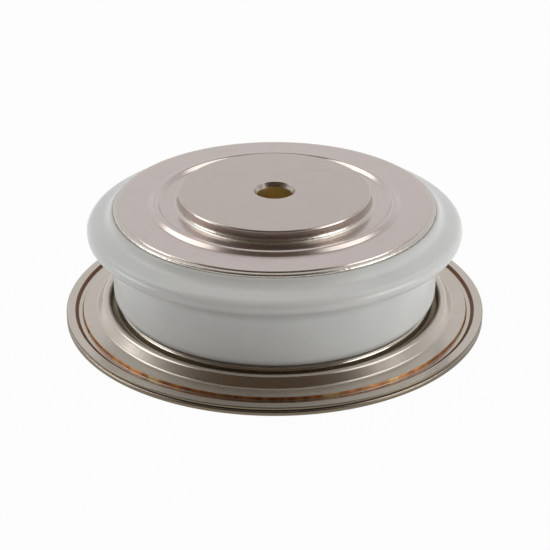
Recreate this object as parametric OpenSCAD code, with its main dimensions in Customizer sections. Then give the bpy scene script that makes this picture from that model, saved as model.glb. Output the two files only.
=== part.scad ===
// Disc-type rectifier diode in a ceramic capsule, 42 mm flange, 19 mm contacts.
// Z points up along the capsule's axis and the origin is the middle of the lower contact face.
// Radii are measured inwards from the flange's rim, each from the piece next to it, by a named
// width or clearance, so that a capsule of another diameter keeps its walls, seats and gaps.

/* [Overall] */
// Distance between the two contact faces
height = 14; // [13.4:0.1:16]
// Diameter of the flange
flange_d = 42; // [36:0.5:50]
// Height of the flange's underside above the lower contact face
standoff = 0.9; // [0.8:0.05:1.2]
// Height of the upper contact face above the upper flange
contact_proud = 1.25; // [0.9:0.05:1.5]

/* [Contacts] */
// Gap between the copper bodies and the ceramic's bore
pole_gap = 2; // [1.5:0.1:2.5]
// Width of a body's shoulder outside its contact face
pole_shoulder_w = 1.5; // [1:0.1:2]
// Rounding of a contact face's edge
contact_edge_r = 0.18; // [0.05:0.01:0.3]
// Rounding of the pole body's edges
pole_body_edge_r = 0.3; // [0.1:0.05:0.4]
// Height of the lower pole piece from face to face
lower_pole_h = 5; // [4.4:0.1:5.6]

/* [Locating holes] */
// Diameter of the locating hole in each contact face
hole_d = 3.5; // [2.5:0.1:4.5]
// Depth of the full-diameter hole below the contact face
hole_depth = 2; // [1.6:0.1:2.6]
// Widening of the hole's radius at the mouth
countersink_w = 0.3; // [0.1:0.05:0.5]
// Depth of the countersink
countersink_depth = 0.45; // [0.1:0.05:0.6]
// Included angle of the drill point at the bottom of the hole
drill_angle = 118; // [90:1:140]

/* [Ceramic housing] */
// Wall of the ceramic ring below the rib
ceramic_wall_t = 3.15; // [2.8:0.05:3.8]
// How far the rib stands out from the ring's wall
rib_w = 2.4; // [1.6:0.1:3]
// How far the top face's shoulder lies outside the ring's wall
shoulder_out = 0.25; // [0.1:0.05:0.6]
// Rounding of that shoulder
shoulder_r = 1.1; // [0.3:0.1:1.5]
// Angle at which the rib's upper side falls away
rib_top_slope = 33; // [25:1:40]
// Height of the rib's rim between its upper and lower side
rib_rim_h = 1.1; // [1:0.1:1.6]
// Rounding at the top of the rib's rim
rib_top_r = 1.1; // [0.4:0.1:1.3]
// Rounding at the bottom of the rib's rim
rib_bottom_r = 0.8; // [0.3:0.1:1]
// Angle at which the rib's underside falls towards the ring
rib_under_slope = 24; // [10:1:35]
// Hollow rounding between the rib's underside and the ring
rib_root_r = 1.3; // [0.5:0.1:1.6]
// Rounding of the ring's lower outer edge
ceramic_foot_r = 0.9; // [0.3:0.05:1.1]
// Rounding of the bore's edges
bore_edge_r = 0.3; // [0.1:0.05:0.4]

/* [Upper flange] */
// Distance of the sheet's edge inside the ceramic's shoulder
upper_flange_inset = 1; // [0.8:0.05:1.4]
// Thickness of the sheet
upper_sheet_t = 0.3; // [0.2:0.02:0.36]
// Rounding of the sheet's outer edge
upper_edge_r = 0.05; // [0.02:0.01:0.1]
// Distance from the contact face's edge to the bead's middle line
bead_offset = 2.52; // [2.3:0.02:2.8]
// Width of the bead between its feet
bead_w = 1.2; // [1.1:0.05:1.5]
// Height of the bead
bead_h = 0.52; // [0.3:0.02:0.56]
// Angle of the bead's flanks
bead_slope = 60; // [50:1:70]
// Rounding of the bead's crest
bead_crest_r = 0.4; // [0.1:0.05:0.6]
// Rounding at the bead's feet
bead_foot_r = 0.18; // [0.05:0.01:0.3]

/* [Weld ring] */
// Thickness of the weld ring's sheet
ring_sheet_t = 0.35; // [0.25:0.05:0.4]
// Height of the ledge under the ceramic above the flange's underside
ledge_h = 1.65; // [1.5:0.05:1.9]
// Distance of the ledge's collar inside the ceramic's outer wall
collar_inset = 0.4; // [0.2:0.05:0.5]
// Width of the valley between the collar and the ring bead
valley_w = 0.65; // [0.55:0.05:1]
// Height of the valley's floor above the flange's underside
valley_h = 1.15; // [1.05:0.05:1.2]
// Width of the ring bead from its inner wall to the foot of its outer flank
ring_bead_w = 1.49; // [1.41:0.02:1.8]
// Height of the ring bead's crest above the flange's underside
ring_bead_h = 2; // [1.8:0.05:2.1]
// Rounding on the inner side of the ring bead's crest
ring_bead_in_r = 0.5; // [0.2:0.05:0.5]
// Rounding on the outer side of the ring bead's crest
ring_bead_out_r = 0.55; // [0.2:0.05:0.6]
// Angle of the ring bead's outer flank
ring_bead_slope = 55; // [50:1:62]
// Hollow rounding at the foot of that flank
ring_bead_foot_r = 0.45; // [0.2:0.05:0.5]
// Width of the land between that flank and the channel
land_w = 1.41; // [1.1:0.01:2]
// Height of the land above the flange's underside
land_h = 1; // [0.95:0.01:1.1]
// Bend radius of the ledge and the valley
bend_r = 0.25; // [0.1:0.05:0.3]

/* [Cold weld] */
// Width of the lip outside the pressed channel
lip_w = 0.86; // [0.6:0.02:1.2]
// Width of the channel's floor
channel_w = 0.74; // [0.6:0.02:0.9]
// Height of the channel's floor above the flange's underside
channel_h = 0.62; // [0.6:0.02:0.7]
// Slant of the channel's walls, measured across
channel_slant = 0.05; // [0.02:0.01:0.1]
// Height of the outer lip above the flange's underside
lip_h = 0.9; // [0.85:0.01:0.95]
// Thickness of the lip
lip_t = 0.3; // [0.25:0.01:0.32]
// Depth of the channel pressed into the underside
under_channel_h = 0.14; // [0.05:0.01:0.2]
// Rounding of the rim's edges
rim_edge_r = 0.1; // [0.04:0.02:0.14]

/* [Base flange] */
// Thickness of the base flange
base_sheet_t = 0.48; // [0.4:0.02:0.52]
// Width of the base flange's bead between its feet
base_bead_w = 1.5; // [1.3:0.05:1.8]

/* [Brazing] */
// Thickness of a brazed seam
braze_t = 0.08; // [0.05:0.01:0.15]
// Gap between a pole piece and the hole of its flange
braze_gap = 0.05; // [0.03:0.01:0.1]
// Leg of the braze fillet round a pole piece
braze_leg = 0.6; // [0.2:0.05:0.8]
// Width of the braze margin outside the upper flange
braze_margin = 0.46; // [0.2:0.02:0.5]
// Height that the margin climbs up the flange's edge
braze_climb = 0.08; // [0.04:0.01:0.15]
// Distance of the lower seat's braze inside the ceramic's foot rounding
seat_inset = 0.05; // [0.02:0.01:0.3]

/* [Wafer stack] */
// Thickness of each silver contact foil
foil_t = 0.1; // [0.05:0.01:0.2]
// Distance of the lower foil's edge inside the pole piece's flat face
foil_inset = 0.5; // [0.2:0.1:1]
// Thickness of the lower molybdenum disc
lower_disc_t = 2; // [1.5:0.1:2.2]
// Distance of the upper molybdenum disc's edge inside the wafer's narrow face
upper_disc_inset = 0.6; // [0.3:0.05:1]
// Thickness of the upper molybdenum disc
upper_disc_t = 1; // [0.9:0.1:1.4]
// Rounding of the molybdenum discs' edges
disc_edge_r = 0.1; // [0.05:0.01:0.2]
// Thickness of the alloyed layer under the wafer
alloy_t = 0.05; // [0.03:0.01:0.1]
// Width of the lower molybdenum disc outside the wafer
wafer_margin = 0.35; // [0.2:0.05:0.6]
// Thickness of the silicon wafer
wafer_t = 0.4; // [0.3:0.02:0.5]
// Width of the bevel ground round the wafer's edge
wafer_bevel = 0.6; // [0.3:0.05:0.8]
// Height of the rubber seal above the lower molybdenum disc
seal_h = 0.95; // [0.8:0.05:1.1]
// Clearance between the rubber seal and the upper molybdenum disc
seal_clearance = 0.05; // [0.02:0.01:0.1]

/* [Centring ring] */
// Wall of the ring beside the lower molybdenum disc
ring_wall_t = 1.2; // [1:0.05:1.6]
// Height of the ring above the lower disc's underside
ring_top_h = 1.7; // [1.2:0.1:2]
// Height of the ring below the lower disc's underside
ring_skirt_h = 1.4; // [0.8:0.1:1.8]
// Clearance between the ring and what it centres
ring_clearance = 0.05; // [0.02:0.01:0.1]
// Rounding of the ring's edges
ring_edge_r = 0.2; // [0.05:0.05:0.3]

/* [Hidden] */

$fn = 180;
arc_step = 9;     // largest angle between two points of a rounded corner
tight_r = 0.03;   // rounding left where a bend's inner side would close up
cut = 1;          // how far a cutting tool reaches past the metal

nickel = "#b5aca8";
braze_silver = "#bdb7ab";
alumina = "#e2e3e1";
molybdenum = "#8d9096";
silver = "#d4d5d3";
silicon = "#4c4f57";
rubber = "#8b3a2a";
ptfe = "#f1f0ea";

// Radii of the flange and the weld ring, from the rim inwards
flange_r = flange_d / 2;
lip_in_r = flange_r - lip_w;
channel_in_r = lip_in_r - channel_w - 2 * channel_slant;
land_in_r = channel_in_r - land_w;
valley_out_r = land_in_r - ring_bead_w;
collar_r = valley_out_r - valley_w;

// Radii of the ceramic ring and the upper flange on it
ceramic_r = collar_r + collar_inset;
rib_r = ceramic_r + rib_w;
shoulder_at_r = ceramic_r + shoulder_out;
upper_flange_r = shoulder_at_r - upper_flange_inset;
bore_r = ceramic_r - ceramic_wall_t;
seat_in_r = bore_r + bore_edge_r;
seat_out_r = ceramic_r - ceramic_foot_r - seat_inset;

// Radii of the pole pieces and the bead round them
pole_body_r = bore_r - pole_gap;
contact_r = pole_body_r - pole_shoulder_w;
bead_r = contact_r + bead_offset;

// Radii of the wafer stack in its centring ring
lower_disc_r = bore_r - ring_wall_t - ring_clearance;
wafer_r = lower_disc_r - wafer_margin;
wafer_narrow_r = wafer_r - wafer_bevel;
upper_disc_r = wafer_narrow_r - upper_disc_inset;
lower_foil_r = pole_body_r - pole_body_edge_r - foil_inset;

// Levels from the top contact down
upper_flange_z = height - contact_proud;
upper_under_z = upper_flange_z - upper_sheet_t;
ceramic_top_z = upper_under_z - braze_t;

// Levels from the lower contact up
flange_z = standoff;
base_top_z = flange_z + base_sheet_t;
ledge_z = flange_z + ledge_h;
ceramic_bottom_z = ledge_z + braze_t;
land_z = flange_z + land_h;
lip_z = flange_z + lip_h;

// Levels of the wafer stack, each piece resting on the one below
lower_disc_z = lower_pole_h + foil_t;
alloy_z = lower_disc_z + lower_disc_t;
wafer_z = alloy_z + alloy_t;
upper_disc_z = wafer_z + wafer_t;
upper_foil_z = upper_disc_z + upper_disc_t;
upper_pole_z = upper_foil_z + foil_t;

function unit(v) = v / norm(v);
function flat(corner) = [corner[0], corner[1]];
function reversed(list) = [for (i = [len(list) - 1 : -1 : 0]) list[i]];

// Length between a corner and the start of its rounding
function tangent(before, corner, after) =
    let (open = acos(unit(flat(before) - flat(corner)) * unit(flat(after) - flat(corner))))
    corner[2] / tan(open / 2);

// Points of one rounded corner, where share is the part of the wanted radius that fits
function corner_arc(before, corner, after, share) =
    let (
        radius = corner[2] * share,
        to_before = unit(flat(before) - flat(corner)),
        to_after = unit(flat(after) - flat(corner)),
        half = acos(to_before * to_after) / 2,
        centre = flat(corner) + unit(to_before + to_after) * radius / sin(half),
        first = flat(corner) + to_before * radius / tan(half) - centre,
        last = flat(corner) + to_after * radius / tan(half) - centre,
        turn = 180 - 2 * half,
        steps = ceil(turn / arc_step),
        side = sign(first[0] * last[1] - first[1] * last[0]),
        start = atan2(first[1], first[0])
    )
    radius < tight_r / 2 ? [flat(corner)] : [
        for (i = [0 : steps])
            let (angle = start + side * turn * i / steps)
            centre + radius * [cos(angle), sin(angle)]
    ];

// Closed outline from corners [radius, height, rounding]
function rounded(corners) =
    let (
        n = len(corners),
        tangents = [
            for (i = [0 : n - 1]) tangent(corners[(i + n - 1) % n], corners[i], corners[(i + 1) % n])
        ],
        shares = [
            for (i = [0 : n - 1])
                let (next = (i + 1) % n, needed = tangents[i] + tangents[next])
                needed > 0 ? min(1, norm(flat(corners[next]) - flat(corners[i])) / needed) : 1
        ]
    )
    [
        for (i = [0 : n - 1])
            each corner_arc(
                corners[(i + n - 1) % n], corners[i], corners[(i + 1) % n],
                min(shares[i], shares[(i + n - 1) % n])
            )
    ];

// The other face of a bent sheet, thickness to the right of the path, or to the left if negative
function other_face(path, thickness) =
    let (
        n = len(path),
        way = [for (i = [0 : n - 2]) unit(flat(path[i + 1]) - flat(path[i]))],
        across = [for (w = way) [w[1], -w[0]]]
    )
    [
        for (i = [0 : n - 1])
            let (
                a = across[max(i - 1, 0)],
                b = across[min(i, n - 2)],
                shift = thickness * (a + b) / (1 + a * b),
                bend = sign(a[0] * b[1] - a[1] * b[0])
            )
            [
                path[i][0] + shift[0], path[i][1] + shift[1],
                bend == 0 ? 0 : max(path[i][2] + bend * thickness, tight_r)
            ]
    ];

// Corners of a pressed bead that stands by rise above a sheet at height z
function bead(z, rise, width) =
    let (foot = width / 2, crest = foot - abs(rise) / tan(bead_slope))
    [
        [bead_r - foot, z, bead_foot_r],
        [bead_r - crest, z + rise, bead_crest_r],
        [bead_r + crest, z + rise, bead_crest_r],
        [bead_r + foot, z, bead_foot_r]
    ];

module turned(corners) {
    rotate_extrude() polygon(rounded(corners));
}

module disc(radius, z, thickness, edge_r) {
    turned([
        [0, z, 0],
        [radius, z, edge_r],
        [radius, z + thickness, edge_r],
        [0, z + thickness, 0]
    ]);
}

// Locating hole with countersink and drill point, its mouth in the plane z = 0, drilled downwards
module locating_hole() {
    tip_h = hole_d / 2 / tan(drill_angle / 2);
    translate([0, 0, -hole_depth]) cylinder(d = hole_d, h = hole_depth + cut);
    translate([0, 0, -hole_depth - tip_h]) cylinder(d1 = 0, d2 = hole_d, h = tip_h);
    translate([0, 0, -countersink_depth])
        cylinder(d1 = hole_d, d2 = hole_d + 2 * countersink_w, h = countersink_depth);
}

// Pole piece with its contact face in the plane z = 0 and its body below
module pole_piece(boss_h, total_h) {
    difference() {
        turned([
            [0, 0, 0],
            [contact_r, 0, contact_edge_r],
            [contact_r, -boss_h, 0],
            [pole_body_r, -boss_h, pole_body_edge_r],
            [pole_body_r, -total_h, pole_body_edge_r],
            [0, -total_h, 0]
        ]);
        locating_hole();
    }
}

// Braze round a pole piece: a seam under the sheet, one in its hole and a fillet on top of it
module pole_braze(sheet_t) {
    hole_r = contact_r + braze_gap;
    turned([
        [contact_r, -sheet_t - braze_t, 0],
        [pole_body_r - pole_body_edge_r, -sheet_t - braze_t, 0],
        [pole_body_r - pole_body_edge_r, -sheet_t, 0],
        [hole_r, -sheet_t, 0],
        [hole_r, 0, 0],
        [contact_r + braze_leg, 0, 0],
        [hole_r + tight_r, tight_r, braze_leg],
        [contact_r, braze_leg, 0]
    ]);
}

module upper_pole_piece() {
    color(nickel)
        translate([0, 0, height])
        pole_piece(contact_proud + upper_sheet_t + braze_t, height - upper_pole_z);
}

module lower_pole_piece() {
    color(nickel)
        mirror([0, 0, 1])
        pole_piece(base_top_z + braze_t, lower_pole_h);
}

module upper_pole_braze() {
    color(braze_silver)
        translate([0, 0, upper_flange_z])
        pole_braze(upper_sheet_t);
}

module lower_pole_braze() {
    color(braze_silver)
        translate([0, 0, flange_z])
        mirror([0, 0, 1])
        pole_braze(base_sheet_t);
}

module upper_flange() {
    top_face = concat(
        [[contact_r + braze_gap, upper_flange_z, 0]],
        bead(upper_flange_z, bead_h, bead_w),
        [[upper_flange_r - upper_sheet_t, upper_flange_z, 0]]
    );
    edge = [
        [upper_flange_r, upper_flange_z, upper_edge_r],
        [upper_flange_r, upper_under_z, upper_edge_r]
    ];
    color(nickel) turned(concat(top_face, edge, reversed(other_face(top_face, upper_sheet_t))));
}

module upper_ceramic_braze() {
    margin_r = upper_flange_r + braze_margin;
    color(braze_silver) turned([
        [seat_in_r, ceramic_top_z, 0],
        [margin_r, ceramic_top_z, 0],
        [margin_r, ceramic_top_z + braze_t / 2, 0],
        [upper_flange_r + braze_climb, upper_under_z + tight_r, braze_climb],
        [upper_flange_r, upper_under_z + braze_climb, 0],
        [upper_flange_r, upper_under_z, upper_edge_r],
        [seat_in_r, upper_under_z, 0]
    ]);
}

module ceramic_housing() {
    rim_top_z = ceramic_top_z - (rib_r - shoulder_at_r) * tan(rib_top_slope);
    rim_bottom_z = rim_top_z - rib_rim_h;
    root_z = rim_bottom_z - rib_w * tan(rib_under_slope);
    color(alumina) turned([
        [bore_r, ceramic_bottom_z, bore_edge_r],
        [ceramic_r, ceramic_bottom_z, ceramic_foot_r],
        [ceramic_r, root_z, rib_root_r],
        [rib_r, rim_bottom_z, rib_bottom_r],
        [rib_r, rim_top_z, rib_top_r],
        [shoulder_at_r, ceramic_top_z, shoulder_r],
        [bore_r, ceramic_top_z, bore_edge_r]
    ]);
}

module lower_ceramic_braze() {
    color(braze_silver)
        translate([0, 0, ledge_z])
        difference() {
            cylinder(r = seat_out_r, h = braze_t);
            translate([0, 0, -cut]) cylinder(r = seat_in_r, h = braze_t + 2 * cut);
        }
}

module weld_ring() {
    crest_z = flange_z + ring_bead_h;
    valley_z = flange_z + valley_h;
    floor_z = flange_z + channel_h;
    formed = [
        [seat_in_r, ledge_z, 0],
        [collar_r, ledge_z, bend_r],
        [collar_r, valley_z, bend_r],
        [valley_out_r, valley_z, bend_r],
        [valley_out_r, crest_z, ring_bead_in_r],
        [land_in_r - (crest_z - land_z) / tan(ring_bead_slope), crest_z, ring_bead_out_r],
        [land_in_r, land_z, ring_bead_foot_r],
        [channel_in_r - ring_sheet_t, land_z, 0]
    ];
    pressed = [
        [channel_in_r, land_z, tight_r],
        [channel_in_r + channel_slant, floor_z, tight_r],
        [lip_in_r - channel_slant, floor_z, tight_r],
        [lip_in_r, lip_z, 2 * tight_r],
        [flange_r, lip_z, rim_edge_r],
        [flange_r, lip_z - lip_t, rim_edge_r],
        [lip_in_r + lip_t, lip_z - lip_t, tight_r],
        [lip_in_r, base_top_z, 0],
        [channel_in_r - channel_slant, base_top_z, 0]
    ];
    color(nickel)
        turned(concat(formed, pressed, reversed(other_face(formed, ring_sheet_t))));
}

module base_flange() {
    groove_z = flange_z + under_channel_h;
    under_face = concat(
        [[contact_r + braze_gap, flange_z, 0]],
        bead(flange_z, -bead_h, base_bead_w),
        [[channel_in_r - 2 * base_sheet_t, flange_z, 0]]
    );
    pressed = [
        [channel_in_r, flange_z, tight_r],
        [channel_in_r + channel_slant, groove_z, tight_r],
        [lip_in_r - channel_slant, groove_z, tight_r],
        [lip_in_r, flange_z, tight_r],
        [flange_r, flange_z, rim_edge_r],
        [flange_r, base_top_z, 2 * rim_edge_r]
    ];
    color(nickel)
        turned(concat(under_face, pressed, reversed(other_face(under_face, -base_sheet_t))));
}

module upper_contact_foil() {
    color(silver) disc(upper_disc_r, upper_foil_z, foil_t, 0);
}

module upper_molybdenum_disc() {
    color(molybdenum) disc(upper_disc_r, upper_disc_z, upper_disc_t, disc_edge_r);
}

module silicon_wafer() {
    color(silicon)
        translate([0, 0, wafer_z])
        cylinder(r1 = wafer_r, r2 = wafer_narrow_r, h = wafer_t);
}

module wafer_alloy_layer() {
    color(silver) disc(wafer_r, alloy_z, alloy_t, 0);
}

module lower_molybdenum_disc() {
    color(molybdenum) disc(lower_disc_r, lower_disc_z, lower_disc_t, disc_edge_r);
}

module lower_contact_foil() {
    color(silver) disc(lower_foil_r, lower_pole_h, foil_t, 0);
}

module wafer_edge_seal() {
    inner_r = upper_disc_r + seal_clearance;
    outer_r = lower_disc_r - disc_edge_r;
    color(rubber) turned([
        [wafer_r, alloy_z, 0],
        [outer_r, alloy_z, 0],
        [outer_r, alloy_z + seal_h, (outer_r - inner_r) / 3],
        [inner_r, alloy_z + seal_h, (outer_r - inner_r) / 3],
        [inner_r, upper_disc_z, 0],
        [wafer_narrow_r, upper_disc_z, 0],
        [wafer_r, wafer_z, 0]
    ]);
}

module centring_ring() {
    around_disc_r = lower_disc_r + ring_clearance;
    around_pole_r = pole_body_r + ring_clearance;
    color(ptfe) turned([
        [around_pole_r, lower_disc_z - ring_skirt_h, ring_edge_r],
        [bore_r, lower_disc_z - ring_skirt_h, ring_edge_r],
        [bore_r, lower_disc_z + ring_top_h, ring_edge_r],
        [around_disc_r, lower_disc_z + ring_top_h, ring_edge_r],
        [around_disc_r, lower_disc_z, 0],
        [around_pole_r, lower_disc_z, 0]
    ]);
}

upper_pole_piece();
upper_pole_braze();
upper_flange();
upper_ceramic_braze();
ceramic_housing();
lower_ceramic_braze();
weld_ring();
base_flange();
lower_pole_braze();
lower_pole_piece();
upper_contact_foil();
upper_molybdenum_disc();
silicon_wafer();
wafer_alloy_layer();
lower_molybdenum_disc();
lower_contact_foil();
wafer_edge_seal();
centring_ring();
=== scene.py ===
"""Looks of a disc-type rectifier diode in a ribbed ceramic capsule.

Lengths are in millimetres until a mesh is made, and in metres from there on. The capsule stands on
its lower contact face, its axis is Z, and the camera looks along +Y.
"""

from __future__ import annotations

import logging
import math
from dataclasses import dataclass, field
from enum import Enum
from functools import cache
from typing import Any, Callable, Iterable, NamedTuple, Sequence

import bpy
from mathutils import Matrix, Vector


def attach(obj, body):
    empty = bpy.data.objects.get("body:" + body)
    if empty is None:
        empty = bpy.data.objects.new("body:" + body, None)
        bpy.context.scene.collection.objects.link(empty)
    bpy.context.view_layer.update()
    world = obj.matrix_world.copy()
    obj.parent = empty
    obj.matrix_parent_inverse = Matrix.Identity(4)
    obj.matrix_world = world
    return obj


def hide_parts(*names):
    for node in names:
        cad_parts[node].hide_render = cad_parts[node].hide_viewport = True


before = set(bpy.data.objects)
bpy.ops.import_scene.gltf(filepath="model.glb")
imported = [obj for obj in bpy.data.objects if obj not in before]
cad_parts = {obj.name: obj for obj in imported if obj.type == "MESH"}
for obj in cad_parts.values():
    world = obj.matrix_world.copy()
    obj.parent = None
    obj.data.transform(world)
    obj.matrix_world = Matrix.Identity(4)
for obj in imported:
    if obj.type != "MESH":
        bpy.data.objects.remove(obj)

MM = 0.001
TINY = 1e-9

log = logging.getLogger("rectifier_diode")

Colour = tuple[float, float, float]


class Face(Enum):
    """Which of the two contacts a piece belongs to."""

    UPPER = "upper"
    LOWER = "lower"


class Corner(NamedTuple):
    """One corner of an outline: radius, height, rounding and how far braze may stray there."""

    r: float
    z: float
    bend: float = 0.0
    stray: float = 0.0


class Spot(NamedTuple):
    """One point of a finished outline, with its share of edge wear and of stray."""

    r: float
    z: float
    wear: float
    stray: float


class Wander(NamedTuple):
    """How a free braze edge wanders: how far, how often on its way round, and its seed."""

    reach: float = 0.0
    grain: float = 20.0
    seed: float = 0.0


class Grain(NamedTuple):
    """Noise in space: grains per millimetre, detail, roughness of the detail, and its seed."""

    scale: float
    detail: float = 2.0
    rough: float = 0.5
    seed: float = 0.0


def between(a: Sequence[float], b: Sequence[float], share: float) -> tuple[float, float]:
    """Returns the point that lies share of the way from a to b."""
    return a[0] + (b[0] - a[0]) * share, a[1] + (b[1] - a[1]) * share


def slope(angle: float) -> float:
    """Returns the rise over the run of a slope given in degrees."""
    return math.tan(math.radians(angle))


@dataclass
class Outline:
    """Closed outline of a turned piece, rounded at its corners.

    Attributes:
        corners: the corners in order.
        arc_step: largest angle in degrees between two points of a rounding.
        guard: distance from a rounding at which a straight stretch gets one more point, which keeps
            its shading flat.
        least: smallest radius that is rounded.
        straight: half angle in degrees from which a corner counts as straight.
    """

    corners: list[Corner]
    arc_step: float = 7.5
    guard: float = 0.02
    least: float = 0.004
    straight: float = 89.0

    def area(self) -> float:
        """Returns the signed area, positive where the corners run anticlockwise."""
        ring = zip(self.corners, self.corners[1:] + self.corners[:1])
        return sum(a.r * b.z - b.r * a.z for a, b in ring) / 2

    def spots(self) -> list[Spot]:
        """Returns the outline's points, anticlockwise."""
        corners = self.corners if self.area() > 0 else self.corners[::-1]
        near = list(zip(corners[-1:] + corners[:-1], corners, corners[1:] + corners[:1]))
        reach = [c.bend / math.tan(self._half_angle(a, c, b)) for a, c, b in near]
        wanted = [max(here + on, TINY) for here, on in zip(reach, reach[1:] + reach[:1])]
        share = [min(1.0, math.dist(c[:2], b[:2]) / w) for (_, c, b), w in zip(near, wanted)]
        arcs = [self._arc(*three, min(share[i], share[i - 1])) for i, three in enumerate(near)]
        found: list[Spot] = []
        for arc, following in zip(arcs, arcs[1:] + arcs[:1]):
            found += arc + self._guards(arc[-1], following[0], len(arc) > 1, len(following) > 1)
        return found

    def _half_angle(self, before: Corner, corner: Corner, after: Corner) -> float:
        """Returns half of the angle that an outline encloses at a corner, in radians."""
        a = math.atan2(before.z - corner.z, before.r - corner.r)
        b = math.atan2(after.z - corner.z, after.r - corner.r)
        turn = abs(a - b) % (2 * math.pi)
        return min(turn, 2 * math.pi - turn) / 2

    def _arc(self, before: Corner, corner: Corner, after: Corner, share: float) -> list[Spot]:
        """Returns the points of one rounded corner.

        Args:
            before: the corner before it.
            corner: the corner to round.
            after: the corner after it.
            share: the part of the wanted radius that fits.
        """
        radius = corner.bend * share
        half = self._half_angle(before, corner, after)
        if radius < self.least or half > math.radians(self.straight):
            return [Spot(corner.r, corner.z, 0.0, corner.stray)]
        middle = Vector((corner.r, corner.z))
        back, on = (Vector((c.r - corner.r, c.z - corner.z)).normalized() for c in (before, after))
        convex = back.x * on.y - back.y * on.x < 0
        centre = middle + (back + on).normalized() * radius / math.sin(half)
        first = middle + back * radius / math.tan(half) - centre
        turn = math.pi - 2 * half
        steps = max(3, math.ceil(math.degrees(turn) / self.arc_step))
        spots = []
        for i in range(steps + 1):
            angle = (turn if convex else -turn) * i / steps
            c, s = math.cos(angle), math.sin(angle)
            wear = math.sin(math.pi * i / steps) if convex else 0.0
            x, y = first.x * c - first.y * s, first.x * s + first.y * c
            spots.append(Spot(centre.x + x, centre.y + y, wear, corner.stray))
        return spots

    def _guards(self, a: Spot, b: Spot, after_arc: bool, before_arc: bool) -> list[Spot]:
        """Returns the points that hold a straight stretch flat beside its roundings."""
        length = math.dist(a[:2], b[:2])
        if length < 4 * self.guard:
            return []
        near = self.guard / length
        shares = [near] * after_arc + [1 - near] * before_arc
        return [Spot(*between(a, b, s), 0.0, a.stray + (b.stray - a.stray) * s) for s in shares]


def sheet(path: Sequence[Corner], thickness: float, tight: float = 0.03) -> list[Corner]:
    """Returns the outline of a bent sheet.

    Args:
        path: corners of one face.
        thickness: thickness to the right of the path, or to its left if negative.
        tight: rounding left where a bend's inner side would close up.
    """
    ways = [Vector((b.r - a.r, b.z - a.z)).normalized() for a, b in zip(path, path[1:])]
    across = [Vector((w.y, -w.x)) for w in ways]
    other = []
    for i, corner in enumerate(path):
        a, b = across[max(i - 1, 0)], across[min(i, len(across) - 1)]
        shift = (a + b) * thickness / (1 + a.dot(b))
        turn = a.x * b.y - a.y * b.x
        bend = 0.0
        if abs(turn) >= TINY:
            bend = max(corner.bend + math.copysign(thickness, turn * thickness), tight)
        other.append(Corner(corner.r + shift.x, corner.z + shift.y, bend))
    return list(path) + other[::-1]


def mirrored(corners: Iterable[Corner], top: float) -> list[Corner]:
    """Returns corners turned upside down and then raised by top."""
    return [c._replace(z=top - c.z) for c in corners]


def raised(corners: Iterable[Corner], height: float) -> list[Corner]:
    """Returns corners raised by height."""
    return [c._replace(z=c.z + height) for c in corners]


def placed(name: str, data: bpy.types.ID) -> bpy.types.Object:
    """Returns a new object of the scene that holds the data."""
    made = bpy.data.objects.new(name, data)
    bpy.context.scene.collection.objects.link(made)
    return made


def math_node(operation: str, swapped: bool = False) -> Callable[..., Signal]:
    """Returns a method of Signal that adds one Math node.

    Args:
        operation: what the node works out.
        swapped: whether the other value goes in first.
    """

    def method(self: Signal, *others: Value) -> Signal:
        """Adds the node and returns its result."""
        values = [*others, self] if swapped else [self, *others]
        return self.bench.node("ShaderNodeMath", {"operation": operation}, values)

    return method


class Signal:
    """An output socket, on which arithmetic adds Math nodes."""

    def __init__(self, bench: Bench, socket: bpy.types.NodeSocket) -> None:
        """Wraps one output socket of a bench's tree."""
        self.bench = bench
        self.socket = socket

    __add__, __radd__ = math_node("ADD"), math_node("ADD", swapped=True)
    __sub__, __rsub__ = math_node("SUBTRACT"), math_node("SUBTRACT", swapped=True)
    __mul__, __rmul__ = math_node("MULTIPLY"), math_node("MULTIPLY", swapped=True)
    __truediv__, __pow__ = math_node("DIVIDE"), math_node("POWER")
    cos, sin, atan2 = math_node("COSINE"), math_node("SINE"), math_node("ARCTAN2")

    def ramp(self, low: float, high: float) -> Signal:
        """Returns 0 up to low and 1 from high on, with a smooth rise between them."""
        settings = {"interpolation_type": "SMOOTHSTEP", "clamp": True}
        sockets = {"Value": self, "From Min": low, "From Max": high}
        return self.bench.node("ShaderNodeMapRange", settings, sockets)


Value = Signal | float | int | bool | str | Sequence[float] | bpy.types.ID
Sockets = dict[str, Value] | list[Value]


def solid(colour: Value) -> Value:
    """Returns a colour with its alpha, and a signal as it is."""
    return colour if isinstance(colour, Signal) else (*colour, 1.0)


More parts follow.
